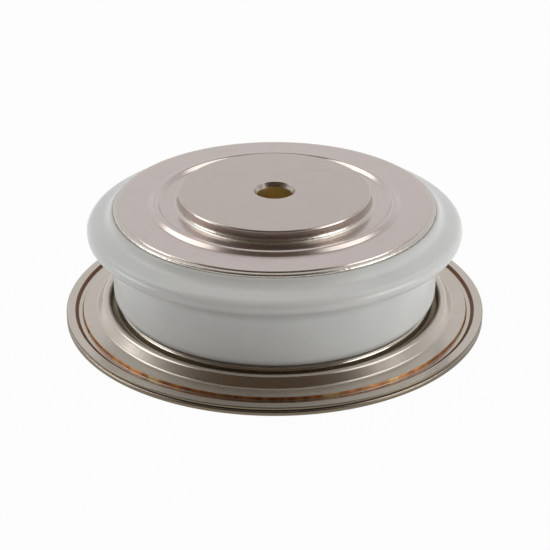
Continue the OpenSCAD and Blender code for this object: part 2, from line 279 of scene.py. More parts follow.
class Bench:
    """Adds nodes to one tree."""

    def __init__(self, tree: bpy.types.NodeTree) -> None:
        """Starts with an empty tree."""
        self.tree = tree
        tree.nodes.clear()

    def add(self, kind: str, settings: dict[str, Any], values: Sockets) -> bpy.types.Node:
        """Adds any node.

        Args:
            kind: the node's type.
            settings: its properties, set before its sockets.
            values: values or links for its inputs, by name or in order.

        Returns:
            The node.
        """
        made = self.tree.nodes.new(kind)
        for name, value in settings.items():
            setattr(made, name, value)
        shown = [s for s in made.inputs if s.enabled]
        if isinstance(values, dict):
            shown = [next(s for s in shown if s.name == name) for name in values]
            values = list(values.values())
        for socket, value in zip(shown, values):
            if isinstance(value, Signal):
                self.tree.links.new(value.socket, socket)
            else:
                socket.default_value = value
        return made

    def node(
        self, kind: str, settings: dict[str, Any], values: Sockets, output: str = ""
    ) -> Signal:
        """Adds any node and returns its first shown output, or the one that output names."""
        made = self.add(kind, settings, values)
        return Signal(self, next(s for s in made.outputs if s.enabled and output in ("", s.name)))

    def mix(self, share: Value, a: Value, b: Value) -> Signal:
        """Mixes two colours, 0 of share giving a and 1 giving b."""
        settings = {"data_type": "RGBA", "blend_type": "MIX", "clamp_factor": True}
        return self.node("ShaderNodeMix", settings, {"Factor": share, "A": solid(a), "B": solid(b)})

    def vector(self, x: Value, y: Value, z: Value) -> Signal:
        """Combines three numbers into a vector."""
        return self.node("ShaderNodeCombineXYZ", {}, {"X": x, "Y": y, "Z": z})

    def split(self, vector: Signal) -> list[Signal]:
        """Returns a vector's three numbers."""
        made = self.add("ShaderNodeSeparateXYZ", {}, {"Vector": vector})
        return [Signal(self, socket) for socket in made.outputs]

    def waves(
        self, vector: Signal, seed: Value, detail: float, rough: float = 0.6, scale: float = 1.0
    ) -> Signal:
        """Adds noise over a vector, whose seed is its fourth coordinate."""
        sockets = {"Vector": vector, "W": seed, "Scale": scale}
        sockets |= {"Detail": detail, "Roughness": rough}
        return self.node("ShaderNodeTexNoise", {"noise_dimensions": "4D"}, sockets)


class Paint(Bench):
    """Nodes of one material."""

    def __init__(self, name: str) -> None:
        """Starts a material of this name."""
        self.material = bpy.data.materials.new(name)
        self.material.use_nodes = True
        super().__init__(self.material.node_tree)

    def end(self, shader: Signal) -> bpy.types.Material:
        """Ends the tree in a shader and returns the material."""
        self.add("ShaderNodeOutputMaterial", {}, {"Surface": shader})
        return self.material


class Surface(Paint):
    """Nodes of one material on a turned piece, with the piece's own coordinates.

    Attributes:
        CLIMB: how much faster the turning marks follow each other up the axis than across it.
        UNIT_TURN: about the length of a circle whose radius is 1.
        NEAR_AXIS: radius in millimetres that is added where the axis would divide by 0.
    """

    CLIMB = 1.37
    UNIT_TURN = 6
    NEAR_AXIS = 1e-4

    def __init__(self, name: str) -> None:
        """Starts a material of this name."""
        super().__init__(name)
        self.place = self.node("ShaderNodeTexCoord", {}, {}, "Object")
        x, y, z = self.split(self.place)
        self.radius = (x * x + y * y) ** 0.5 / MM
        self.height = z / MM
        around = self.radius + self.NEAR_AXIS
        self.east, self.north = x / MM / around, y / MM / around

    def noise(self, grain: Grain) -> Signal:
        """Returns noise in space."""
        return self.waves(self.place, grain.seed, grain.detail, grain.rough, grain.scale / MM)

    def rings(self, pitch: float, drift: float, detail: float = 3.0, seed: float = 0.0) -> Signal:
        """Returns noise drawn out along circles round the axis, as turning and polishing leave it.

        Args:
            pitch: distance between two marks in millimetres.
            drift: how much a mark changes on its way round.
            detail: detail of the noise.
            seed: which marks.
        """
        across = (self.radius + self.height * self.CLIMB) / pitch
        return self.waves(self.vector(across, self.east * drift, self.north * drift), seed, detail)

    def arcs(self, count: float, seed: float, detail: float = 3.0) -> Signal:
        """Returns noise that changes only on the way round, with about count grains per turn."""
        reach = count / self.UNIT_TURN
        return self.waves(self.vector(self.east * reach, self.north * reach, 0.0), seed, detail)

    def wear(self) -> Signal:
        """Returns the piece's own share of wear, which is 1 along its outer edges."""
        return self.node("ShaderNodeAttribute", {"attribute_name": "wear"}, {}, "Fac")

    def bump(self, height: Signal, depth: float) -> Signal:
        """Returns a normal raised by height, where depth is in millimetres."""
        sockets = {"Strength": 1.0, "Distance": depth * MM, "Height": height}
        return self.node("ShaderNodeBump", {}, sockets)

    def finish(self, sockets: dict[str, Value]) -> bpy.types.Material:
        """Ends the material in a Principled BSDF and returns it."""
        return self.end(self.node("ShaderNodeBsdfPrincipled", {}, sockets))


@dataclass(frozen=True)
class Finish:
    """One finish of the capsule.

    Attributes:
        name: the material's name.
    """

    name: str

    def sockets(self, s: Surface) -> dict[str, Value]:
        """Returns the Principled sockets on a surface."""
        raise NotImplementedError

    @cache
    def material(self) -> bpy.types.Material:
        """Returns the material, which is made once."""
        s = Surface(self.name)
        return s.finish(self.sockets(s))


@dataclass(frozen=True)
class NickelPlate(Finish):
    """Satin nickel plate on turned or pressed metal.

    Attributes:
        colour: the plate's colour.
        tint: colour of the thinner, warmer patches.
        roughness: mean roughness.
        mark_pitch: distance between two turning marks in millimetres.
        mark_depth: depth of a turning mark in millimetres.
        grain_depth: depth of the matt grain in millimetres.
        bare_edge_and_reflection: colour of the bare sheared edge round the wide flange, darkened
            further as a painted dark reflection.
        dark_edge_r: radius from which the edge is bare and painted dark, in millimetres.
        clouds: noise of the warmer patches.
        grain: noise of the matt grain.
        gleam: how much brighter a worn edge is.
    """

    name: str = "nickel_plate"
    colour: Colour = (0.645, 0.565, 0.54)
    tint: Colour = (0.60, 0.52, 0.48)
    roughness: float = 0.23
    mark_pitch: float = 0.06
    mark_depth: float = 0.0006
    grain_depth: float = 0.0008
    bare_edge_and_reflection: Colour = (0.18, 0.15, 0.105)
    dark_edge_r: float = 20.97
    clouds: Grain = Grain(0.35, 4.0, 0.6, 1.0)
    grain: Grain = Grain(16.0, 2.0, 0.5, 2.0)
    gleam: float = 1.12

    def sockets(self, s: Surface) -> dict[str, Value]:
        """Returns the Principled sockets on a surface."""
        marks = s.rings(self.mark_pitch, 0.7)
        bands = s.rings(self.mark_pitch * 14, 0.5, detail=2.0, seed=3.0)
        clouds, grain, wear = s.noise(self.clouds), s.noise(self.grain), s.wear()
        bright = tuple(min(1.0, c * self.gleam) for c in self.colour)
        colour = s.mix(clouds.ramp(0.42, 0.75) * 0.5, self.colour, self.tint)
        colour = s.mix(wear * 0.35, colour, bright)
        # Past dark_edge_r the plate takes the cut colour: bare sheared metal, darkened further as a
        # painted dark reflection.
        bare = (s.radius - self.dark_edge_r).ramp(-0.06, 0.0)
        rough = self.roughness + (clouds - 0.5) * 0.08 + (bands - 0.5) * 0.06
        height = marks * (self.mark_depth / self.grain_depth) + grain
        return {
            "Base Color": s.mix(bare, colour, self.bare_edge_and_reflection),
            "Metallic": 1.0,
            "Roughness": rough - wear * 0.04 + bare * 0.1,
            "Normal": s.bump(height, self.grain_depth),
        }


@dataclass(frozen=True)
class DrilledPlate(NickelPlate):
    """Nickel plate on a pole piece, which is thin and brassy inside the locating hole.

    Attributes:
        bore: colour of the hole's wall.
        hole_r: radius of the hole in millimetres.
    """

    name: str = "drilled_plate"
    colour: Colour = (0.588, 0.518, 0.486)
    tint: Colour = (0.565, 0.49, 0.45)
    bore: Colour = (0.66, 0.53, 0.26)
    hole_r: float = 1.75

    def sockets(self, s: Surface) -> dict[str, Value]:
        """Returns the Principled sockets on a surface."""
        found = super().sockets(s)
        inside = 1 - (s.radius - self.hole_r).ramp(-0.01, 0.03)
        found["Base Color"] = s.mix(inside, found["Base Color"], self.bore)
        found["Roughness"] += inside * 0.3
        return found


@dataclass(frozen=True)
class WeldedPlate(NickelPlate):
    """Nickel plate on the weld ring, torn down to the copper along the pressed channel.

    Attributes:
        copper: colour of the bare copper.
        tarnish: colour of darkened copper.
        brass: colour where a trace of plate is left on the copper.
        oxide_and_shade: dark brown of the channel's outer wall, partly copper oxide and partly
            painted shade.
        valley_shade: colour of painted shade, which darkens the plate in the valley beside the
            ceramic.
        valley: radii between which the painted shade lies, in millimetres.
        wall_in: radius at the head of the channel's inner wall in millimetres.
        wall_w: width of that wall in millimetres.
        wall_out: radius at the foot of its outer wall in millimetres.
        head: radius at the head of the outer wall in millimetres.
        ragged: how far the bare copper's edges wander in millimetres.
    """

    name: str = "welded_plate"
    colour: Colour = (0.64, 0.58, 0.52)
    tint: Colour = (0.60, 0.52, 0.44)
    copper: Colour = (0.42, 0.18, 0.06)
    tarnish: Colour = (0.18, 0.07, 0.035)
    brass: Colour = (0.42, 0.33, 0.15)
    oxide_and_shade: Colour = (0.15, 0.06, 0.025)
    valley_shade: Colour = (0.14, 0.11, 0.06)
    valley: tuple[float, float] = (15.74, 16.76)
    wall_in: float = 19.3
    wall_w: float = 0.12
    wall_out: float = 19.78
    head: float = 20.16
    ragged: float = 0.06

    def sockets(self, s: Surface) -> dict[str, Value]:
        """Returns the Principled sockets on a surface."""
        found = super().sockets(s)
        edge = s.radius + (s.arcs(300, 5.0) - 0.5) * self.ragged
        wall = edge - self.wall_in
        inner = wall.ramp(-0.04, 0.0) * (1 - wall.ramp(self.wall_w - 0.03, self.wall_w))
        # The channel's outer wall is painted dark brown, partly copper oxide and partly painted
        # shade.
        outer = (edge - self.wall_out).ramp(-0.02, 0.03)
        outer = outer * (1 - (edge - self.head).ramp(-0.06, 0.0))
        bare = s.mix(s.arcs(110, 7.0).ramp(0.42, 0.60) * 0.8, self.copper, self.tarnish)
        bare = s.mix(s.arcs(36, 9.0).ramp(0.56, 0.66) * 0.8, bare, self.brass)
        colour = s.mix(inner * s.arcs(120, 15.0).ramp(0.22, 0.36), found["Base Color"], bare)
        colour = s.mix(outer * 0.95, colour, self.oxide_and_shade)
        # Painted shade: the plate in the valley between the collar and the ring bead is darkened
        # and roughened.
        near, far = (s.radius - r for r in self.valley)
        valley_shading = near.ramp(0.0, 0.08) * (1 - far.ramp(-0.35, 0.0))
        found["Base Color"] = s.mix(valley_shading * 0.9, colour, self.valley_shade)
        found["Roughness"] += inner * 0.25 + outer * 0.2 + valley_shading * 0.12
        return found


@dataclass(frozen=True)
class TwoTone(Finish):
    """A finish of two tones, with roughness that follows them and a fine relief.

    Attributes:
        colour: the main tone.
        second: the other tone.
        roughness: mean roughness.
        depth: depth of the relief in millimetres.
        metallic: 1 for a metal.
        coat: share of clear gloss.
        unrest: how much the roughness follows the tones.
        spread: where in the noise the other tone starts and is whole.
        share: how much of the other tone shows.
        patches: noise of the tones.
        relief: noise of the relief.
    """

    colour: Colour
    second: Colour
    roughness: float = 0.35
    depth: float = 0.002
    metallic: float = 1.0
    coat: float = 0.0
    unrest: float = 0.2
    spread: tuple[float, float] = (0.4, 0.7)
    share: float = 1.0
    patches: Grain = Grain(0.6, 4.0, 0.6, 5.0)
    relief: Grain = Grain(4.0, 3.0, 0.6, 3.0)

    def height(self, s: Surface) -> Signal:
        """Returns the relief on a surface."""
        return s.noise(self.relief)

    def sockets(self, s: Surface) -> dict[str, Value]:
        """Returns the Principled sockets on a surface."""
        patches = s.noise(self.patches)
        share = patches.ramp(*self.spread) * self.share
        return {
            "Base Color": s.mix(share, self.colour, self.second),
            "Metallic": self.metallic,
            "Roughness": self.roughness + (patches - 0.5) * self.unrest,
            "Normal": s.bump(self.height(s), self.depth),
            "Coat Weight": self.coat,
        }


@dataclass(frozen=True)
class BareCopper(TwoTone):
    """Copper that the cold weld has squeezed out, fresh or darkened."""

    name: str = "bare_copper"
    colour: Colour = (0.75, 0.29, 0.12)
    second: Colour = (0.16, 0.05, 0.02)
    roughness: float = 0.45
    depth: float = 0.004
    spread: tuple[float, float] = (0.4, 0.62)
    patches: Grain = Grain(1.2, 4.0, 0.6, 3.0)
    relief: Grain = Grain(30.0)


@dataclass(frozen=True)
class Braze(TwoTone):
    """Silver braze under nickel plate: a satin skin with fine ripples and a few darker grains."""

    name: str = "braze"
    colour: Colour = (0.66, 0.61, 0.56)
    second: Colour = (0.40, 0.34, 0.27)
    roughness: float = 0.26
    depth: float = 0.006
    unrest: float = 0.12
    spread: tuple[float, float] = (0.56, 0.72)
    share: float = 0.8
    patches: Grain = Grain(4.0, 4.0, 0.65, 4.0)
    relief: Grain = Grain(7.0, 3.0, 0.6, 6.0)


@dataclass(frozen=True)
class GroundMetal(TwoTone):
    """Ground or rolled metal of the inner pieces, with duller patches.

    Attributes:
        pitch: distance between two grinding marks in millimetres.
    """

    unrest: float = 0.15
    pitch: float = 0.08

    def height(self, s: Surface) -> Signal:
        """Returns the grinding marks on a surface."""
        return s.rings(self.pitch, 0.5)


@dataclass(frozen=True)
class Moulded(TwoTone):
    """Silicon, rubber or PTFE of the inner pieces."""

    depth: float = 0.01
    metallic: float = 0.0
    spread: tuple[float, float] = (0.35, 0.7)
    patches: Grain = Grain(1.0, 3.0, 0.6, 2.0)


@dataclass(frozen=True)
class GlazedAlumina(Finish):
    """White alumina under a thin clear glaze.

    Attributes:
        colour: the fired body.
        shade: its slightly cooler clouds.
        speck: colour of the few dark specks.
        metal: colour of the fired metal layer, which peeps out ragged beside the braze, and of the
            painted shade that fades out beyond it.
        metal_r: radius at which the braze ends, in millimetres.
        ragged: how far the layer's edge wanders in millimetres.
        painted_shade: share of the metal colour painted past the layer's edge as shade beside the
            braze.
        painted_shade_w: distance over which that painted shade fades out, in millimetres.
        top: height of the top face in millimetres.
        roughness: roughness of the glaze.
    """

    name: str = "glazed_alumina"
    colour: Colour = (0.82, 0.835, 0.845)
    shade: Colour = (0.77, 0.795, 0.805)
    speck: Colour = (0.45, 0.42, 0.38)
    metal: Colour = (0.16, 0.14, 0.11)
    metal_r: float = 15.88
    ragged: float = 0.24
    painted_shade: float = 0.22
    painted_shade_w: float = 0.7
    top: float = 12.37
    roughness: float = 0.3

    def sockets(self, s: Surface) -> dict[str, Value]:
        """Returns the Principled sockets on a surface."""
        clouds = s.noise(Grain(0.16, 3.0, 0.55, 8.0))
        specks = s.noise(Grain(2.6, 1.0, 0.4, 9.0))
        swell = s.noise(Grain(0.5, seed=10.0))
        pits = s.noise(Grain(12.0, seed=11.0))
        colour = s.mix(clouds.ramp(0.35, 0.7), self.colour, self.shade)
        colour = s.mix(specks.ramp(0.80, 0.84) * 0.35, colour, self.speck)
        past = s.radius - self.metal_r
        ragged = (s.arcs(300, 12.0, detail=4.0) - 0.5) * self.ragged
        layer = 1 - (past + ragged).ramp(0.0, 0.06)
        # Painted shade: past the layer's edge a share of the metal colour fades out over
        # painted_shade_w.
        layer = layer + (1 - layer) * (1 - past.ramp(0.0, self.painted_shade_w)) * self.painted_shade
        layer = layer * (s.height - self.top).ramp(-0.5, -0.3)
        return {
            "Base Color": s.mix(layer * 0.85, colour, self.metal),
            "Roughness": self.roughness + (clouds - 0.5) * 0.08,
            "Normal": s.bump(swell + pits * 0.02, 0.02),
            "Subsurface Weight": 0.12,
            "Subsurface Radius": (1.0, 0.9, 0.8),
            "Subsurface Scale": 0.8 * MM,
            "Coat Weight": 0.1,
            "Coat Roughness": 0.15,
        }


class GeometryBench(Bench):
    """Nodes of one geometry tree with named inputs."""

    def __init__(self, name: str, inputs: dict[str, str]) -> None:
        """Starts the tree.

        Args:
            name: the tree's name.
            inputs: kind of each input beside its geometry and its material, by name.
        """
        super().__init__(bpy.data.node_groups.new(name, "GeometryNodeTree"))
        face = self.tree.interface
        self.keys = {}
        for key, kind in {"Geometry": "Geometry", **inputs, "Material": "Material"}.items():
            made = face.new_socket(name=key, in_out="INPUT", socket_type=f"NodeSocket{kind}")
            self.keys[key] = made.identifier
        face.new_socket(name="Geometry", in_out="OUTPUT", socket_type="NodeSocketGeometry")
        self.source = self.tree.nodes.new("NodeGroupInput")

    def given(self, name: str) -> Signal:
        """Returns one named input."""
        return Signal(self, self.source.outputs[name])

    def random(self, low: Sequence[float], high: Sequence[float], seed: Signal) -> Signal:
        """Adds a random vector for each point."""
        sockets = {"Min": low, "Max": high, "Seed": seed}
        return self.node("FunctionNodeRandomValue", {"data_type": "FLOAT_VECTOR"}, sockets)

    def end(self, geometry: Signal) -> None:
        """Realizes the instances, sets the material and closes the tree."""
        real = self.node("GeometryNodeRealizeInstances", {}, {"Geometry": geometry})
        sockets = {"Geometry": real, "Material": self.given("Material")}
        dressed = self.node("GeometryNodeSetMaterial", {}, sockets)
        self.add("NodeGroupOutput", {}, {"Geometry": dressed})

    def run(self, name: str, start: bpy.types.Mesh, values: dict[str, Any]) -> bpy.types.Object:
        """Runs the tree on a mesh and keeps the result as a plain mesh.

        Args:
            name: the piece's name.
            start: the mesh that the tree starts from.
            values: values of the named inputs.

        Returns:
            The piece, with no modifier left.
        """
        piece = placed(name, start)
        modifier = piece.modifiers.new("shape", "NODES")
        modifier.node_group = self.tree
        for key, value in values.items():
            modifier[self.keys[key]] = value
        graph = bpy.context.evaluated_depsgraph_get()
        mesh = bpy.data.meshes.new_from_object(
            piece.evaluated_get(graph), preserve_all_data_layers=True, depsgraph=graph
        )
        piece.modifiers.remove(modifier)
        piece.data = mesh
        mesh.name = name
        bpy.data.meshes.remove(start)
        log.info("%s: %d faces", name, len(mesh.polygons))
        return piece


class Lathe(GeometryBench):
    """Turns an outline about the Z axis, and lets braze stray a little at its free edges.

    Attributes:
        SEGMENTS: number of steps round the axis.
        SHARP: angle in degrees from which an edge is shaded sharp.
        WELD: distance in metres within which points become one.
        AXIS: radius in millimetres below which a point lies on the axis.
        CARRIED: what each point of an outline carries besides its place.
    """

    SEGMENTS = 360
    SHARP = 28.0
    WELD = 1e-7
    AXIS = 1e-6
    CARRIED = ("wear", "stray")

    def __init__(self) -> None:
        """Builds the tree."""
        sizes = ("Stray", "Grain", "Seed", "Sharp Angle")
        super().__init__("turned_piece", {"Segments": "Int", **dict.fromkeys(sizes, "Float")})
        outline, segments, grain = (self.given(n) for n in ("Geometry", "Segments", "Grain"))
        points, line = {"component": "MESH"}, {"Geometry": outline}
        count = self.node("GeometryNodeAttributeDomainSize", points, line, "Point Count")
        sides = {"Vertices X": self.whole("ADD", segments, 1), "Vertices Y": count}
        grid = self.node("GeometryNodeMeshGrid", {}, sides, "Mesh")
        index = self.node("GeometryNodeInputIndex", {}, {})
        step = self.whole("MODULO", index, count)
        column = self.whole("MODULO", self.whole("DIVIDE_FLOOR", index, count), segments)
        place = self.node("GeometryNodeInputPosition", {}, {})
        radius, _, height = self.split(self.sample(outline, place, step, "FLOAT_VECTOR"))
        wear, stray = (self.sample(outline, self.named(n), step, "FLOAT") for n in self.CARRIED)
        turn = column / segments * math.tau
        east, north = turn.cos(), turn.sin()
        around = self.vector(east * grain, north * grain, height * (1.0 / MM))
        waves = self.waves(around, self.given("Seed"), 4.0)
        wide = radius + (waves - 0.5) * stray * self.given("Stray")
        spread = {"Geometry": grid, "Position": self.vector(wide * east, wide * north, height)}
        turned = self.node("GeometryNodeSetPosition", {}, spread)
        per_point = {"data_type": "FLOAT", "domain": "POINT"}
        worn = {"Geometry": turned, "Name": "wear", "Value": wear}
        kept = self.node("GeometryNodeStoreNamedAttribute", per_point, worn)
        merged = {"Geometry": kept, "Distance": self.WELD}
        closed = self.node("GeometryNodeMergeByDistance", {}, merged)
        edge = self.node("GeometryNodeInputMeshEdgeAngle", {}, {}, "Unsigned Angle")
        below = {"data_type": "FLOAT", "operation": "LESS_THAN"}
        both = {"A": edge, "B": self.given("Sharp Angle")}
        soft = self.node("FunctionNodeCompare", below, both)
        shaded = {"Geometry": closed, "Shade Smooth": soft}
        self.end(self.node("GeometryNodeSetShadeSmooth", {"domain": "EDGE"}, shaded))

    def whole(self, operation: str, a: Value, b: Value) -> Signal:
        """Adds one integer Math node."""
        return self.node("FunctionNodeIntegerMath", {"operation": operation}, [a, b])

    def named(self, name: str) -> Signal:
        """Returns a named attribute of the outline."""
        settings = {"data_type": "FLOAT"}
        return self.node("GeometryNodeInputNamedAttribute", settings, {"Name": name}, "Attribute")

    def sample(self, outline: Signal, value: Signal, index: Signal, kind: str) -> Signal:
        """Reads a value at one point of the outline."""
        settings = {"data_type": kind, "domain": "POINT"}
        sockets = {"Geometry": outline, "Value": value, "Index": index}
        return self.node("GeometryNodeSampleIndex", settings, sockets)

    def turn(
        self, name: str, corners: list[Corner], material: bpy.types.Material, wander: Wander
    ) -> bpy.types.Object:
        """Turns one piece.

        Args:
            name: the piece's name.
            corners: its outline in millimetres.
            material: its finish.
            wander: how its free braze edges wander.

        Returns:
            The piece.
        """
        spots = Outline(corners).spots()
        on_axis = [i for i, s in enumerate(spots) if max(s.r, spots[i - 1].r) < self.AXIS]
        if on_axis:
            spots = spots[on_axis[0]:] + spots[:on_axis[0]]
        else:
            spots = spots + spots[:1]
        mesh = bpy.data.meshes.new(name)
        edges = [(i, i + 1) for i in range(len(spots) - 1)]
        mesh.from_pydata([(s.r * MM, 0.0, s.z * MM) for s in spots], edges, [])
        for key in self.CARRIED:
            layer = mesh.attributes.new(key, "FLOAT", "POINT")
            layer.data.foreach_set("value", [getattr(s, key) for s in spots])
        values = {
            "Segments": self.SEGMENTS,
            "Stray": wander.reach * MM,
            "Grain": wander.grain,
            "Seed": wander.seed,
            "Sharp Angle": math.radians(self.SHARP),
            "Material": material,
        }
        return self.run(name, mesh, values)


class Squeezer(GeometryBench):
    """Sets small flakes of squeezed-out copper along a circle.

    Attributes:
        STEPS: number of straight stretches in the circle.
        TILT: how far a flake may lean, in radians.
        LEAST: smallest stretch of a flake across, along and up.
        MOST: largest stretch.
        LIFT: how much higher than the circle a flake may sit, in metres.
    """

    STEPS = 180
    TILT = 0.4
    LEAST = (0.25, 0.8, 0.3)
    MOST = (0.5, 3.2, 0.9)
    LIFT = 0.12 * MM

    def __init__(self) -> None:
        """Builds the tree."""
        sizes = dict.fromkeys(("Radius", "Height", "Flake"), "Float")
        super().__init__("squeezed_copper", {"Count": "Int", **sizes, "Seed": "Int"})
        seed, tilt = self.given("Seed"), (self.TILT,) * 3
        circle = {"Resolution": self.STEPS, "Radius": self.given("Radius")}
        ring = self.node("GeometryNodeCurvePrimitiveCircle", {"mode": "RADIUS"}, circle)
        spaced = {"Curve": ring, "Count": self.given("Count")}
        points = self.node("GeometryNodeCurveToPoints", {"mode": "COUNT"}, spaced)
        lean = self.random(tuple(-t for t in tilt), tilt, seed)
        x, y, _ = self.split(self.node("GeometryNodeInputPosition", {}, {}))
        facing = self.vector(0.0, 0.0, y.atan2(x))
        bend = self.node("ShaderNodeVectorMath", {"operation": "ADD"}, [facing, lean])
        ball = {"Radius": self.given("Flake"), "Subdivisions": 1}
        lump = self.node("GeometryNodeMeshIcoSphere", {}, ball, "Mesh")
        stretch = self.random(self.LEAST, self.MOST, seed)
        put = {"Points": points, "Instance": lump, "Rotation": bend, "Scale": stretch}
        flakes = self.node("GeometryNodeInstanceOnPoints", {}, put)
        lift = self.random((0.0, 0.0, 0.0), (0.0, 0.0, self.LIFT), seed)
        shift = {"Instances": flakes, "Translation": lift, "Local Space": False}
        moved = self.node("GeometryNodeTranslateInstances", {}, shift)
        up = {"Geometry": moved, "Translation": self.vector(0.0, 0.0, self.given("Height"))}
        self.end(self.node("GeometryNodeTransform", {}, up))


@dataclass
class Shop:
    """Where the sub-assemblies get their pieces made.

    Attributes:
        lathe: turns their outlines.
    """

    lathe: Lathe = field(default_factory=Lathe)

    def make(
        self,
        name: str,
        node: str,
        corners: list[Corner],
        finish: Finish,
        wander: Wander = Wander(),
    ) -> None:
        """Turns a piece and puts it in the place of a CAD node.

        Args:
            name: the piece's name.
            node: the node that it stands for.
            corners: its outline in millimetres.
            finish: its finish.
            wander: how its free braze edges wander.
        """
        piece = self.lathe.turn(name, corners, finish.material(), wander)
        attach(piece, "root")
        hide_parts(node)


@dataclass
class Levels:
    """Heights and radii that several sub-assemblies share, in millimetres."""

    height: float = 14.0
    contact_proud: float = 1.25
    upper_sheet: float = 0.3
    seam: float = 0.08
    underside: float = 0.9
    base_sheet: float = 0.48
    contact_r: float = 9.5
    braze_gap: float = 0.05
    bore_r: float = 13.0
    bore_edge: float = 0.3

    @property
    def upper_top(self) -> float:
        """Top face of the upper flange."""
        return self.height - self.contact_proud

    @property
    def upper_under(self) -> float:
        """Underside of the upper flange."""
        return self.upper_top - self.upper_sheet

    @property
    def ceramic_top(self) -> float:
        """Top face of the ceramic."""
        return self.upper_under - self.seam

    @property
    def base_top(self) -> float:
        """Top face of the base flange."""
        return self.underside + self.base_sheet

    @property
    def pole_hole(self) -> float:
        """Radius of the holes in which the pole pieces are brazed."""
        return self.contact_r + self.braze_gap

    @property
    def seam_in(self) -> float:
        """Inner radius of the brazed seams on the ceramic."""
        return self.bore_r + self.bore_edge


@dataclass
class PolePieces:
    """The two copper pole pieces with their contact faces, locating holes and brazed collars.

    Attributes:
        levels: the shared heights.
        body_r: radius of the body inside the housing.
        body_edge: rounding of the body's edges.
        face_edge: rounding of the contact face's edge.
        hole_r: radius of the locating hole.
        hole_depth: depth of its full diameter.
        mouth: widening of the hole's radius at its mouth.
        mouth_depth: depth of the countersink.
        mouth_edges: roundings at the countersink's lower and upper end.
        drill_angle: included angle of the drill point.
        upper_inner: height of the upper piece's inner face.
        lower_inner: height of the lower piece's inner face.
        braze_leg: leg of the braze fillet.
        braze_foot: how far the fillet's hollow stays off its corner.
        wander: how the fillet's edge wanders.
    """

    levels: Levels
    body_r: float = 11.0
    body_edge: float = 0.3
    face_edge: float = 0.18
    hole_r: float = 1.75
    hole_depth: float = 2.0
    mouth: float = 0.3
    mouth_depth: float = 0.45
    mouth_edges: tuple[float, float] = (0.03, 0.04)
    drill_angle: float = 118.0
    upper_inner: float = 8.65
    lower_inner: float = 5.0
    braze_leg: float = 0.42
    braze_foot: float = 0.03
    wander: Wander = Wander(0.14, 26.0, 2.0)

    def outline(self, boss: float, total: float) -> list[Corner]:
        """Returns one pole piece's outline, its contact face at height 0 and its body below.

        Args:
            boss: height of the part that passes through the flange.
            total: height of the whole piece.
        """
        contact, (inner_edge, outer_edge) = self.levels.contact_r, self.mouth_edges
        return [
            Corner(0, -self.hole_depth - self.hole_r / slope(self.drill_angle / 2)),
            Corner(self.hole_r, -self.hole_depth),
            Corner(self.hole_r, -self.mouth_depth, inner_edge),
            Corner(self.hole_r + self.mouth, 0, outer_edge),
            Corner(contact, 0, self.face_edge),
            Corner(contact, -boss),
            Corner(self.body_r, -boss, self.body_edge),
            Corner(self.body_r, -total, self.body_edge),
            Corner(0, -total),
        ]

    def collar(self, sheet_t: float) -> list[Corner]:
        """Returns the outline of the braze round a pole piece, the flange's outer face at 0."""
        inner, hole = self.levels.contact_r, self.levels.pole_hole
        outer, under = self.body_r - self.body_edge, -sheet_t - self.levels.seam
        return [
            Corner(inner, under),
            Corner(outer, under),
            Corner(outer, -sheet_t),
            Corner(hole, -sheet_t),
            Corner(hole, 0),
            Corner(inner + self.braze_leg, 0, 0, 1.0),
            Corner(hole + self.braze_foot, self.braze_foot, self.braze_leg, 0.25),
            Corner(inner, self.braze_leg),
        ]

    def build(self, shop: Shop) -> None:
        """Builds both pole pieces and their braze."""
        lv = self.levels
        for face in Face:
            if face is Face.UPPER:
                pole = self.outline(lv.height - lv.ceramic_top, lv.height - self.upper_inner)
                pole = raised(pole, lv.height)
                collar = raised(self.collar(lv.upper_sheet), lv.upper_top)
            else:
                pole = mirrored(self.outline(lv.base_top + lv.seam, self.lower_inner), 0.0)
                collar = mirrored(self.collar(lv.base_sheet), lv.underside)
            side = face.value
            shop.make(f"{side}_pole", f"{side}_pole_piece", pole, DrilledPlate())
            shop.make(
                f"{side}_pole_collar", f"{side}_pole_braze", collar, Braze(), self.wander
            )


